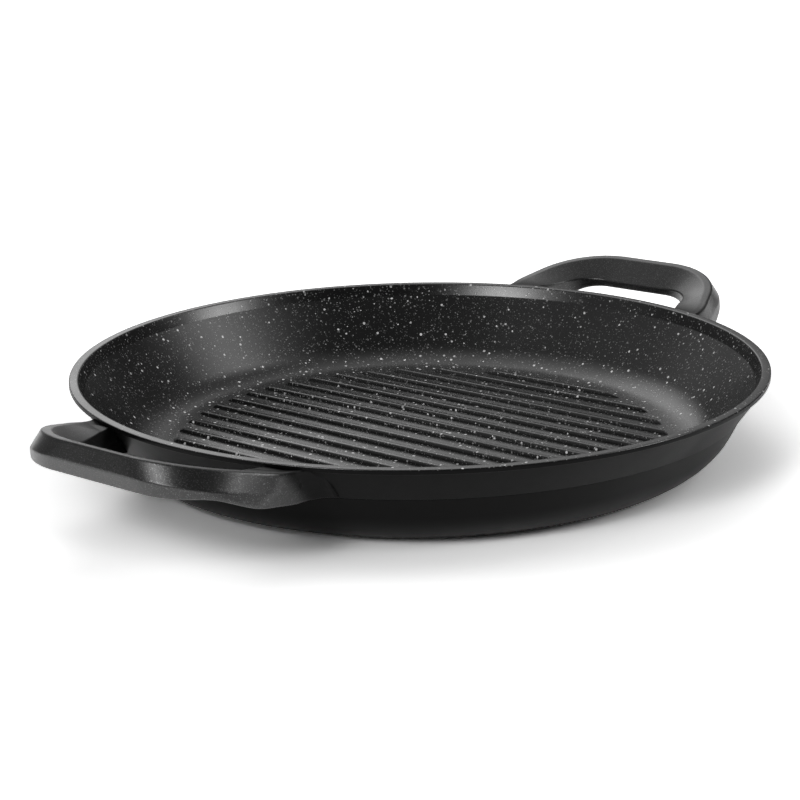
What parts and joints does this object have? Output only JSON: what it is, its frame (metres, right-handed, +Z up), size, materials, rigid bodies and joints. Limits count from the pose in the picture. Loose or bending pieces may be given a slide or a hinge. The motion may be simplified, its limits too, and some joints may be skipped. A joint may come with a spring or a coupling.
{
  "type": "grill pan",
  "caption": "Round cast grill pan with parallel raised ribs on the floor, a flared wall, a flat rim and a loop handle on each of two opposite sides.",
  "frame": {"origin": "centre of the flat base, on the surface that the pan stands on", "axes": "+Z up out of the bowl, X through both handles with the rear handle at +X and the front handle at -X, Y along the grill ribs"},
  "size_m": [0.4096, 0.32, 0.0518],
  "materials": {
    "pan_coating": "matte",
    "handle_coating": "matte",
    "plate_steel": "satin",
    "screw_steel": "satin"
  },
  "bodies": {
    "root": {"pan_body": "pan_coating", "front_handle": "handle_coating", "rear_handle": "handle_coating", "induction_plate": "plate_steel", "handle_screws": "screw_steel", "screw_washers": "screw_steel"}
  },
  "joints": []
}
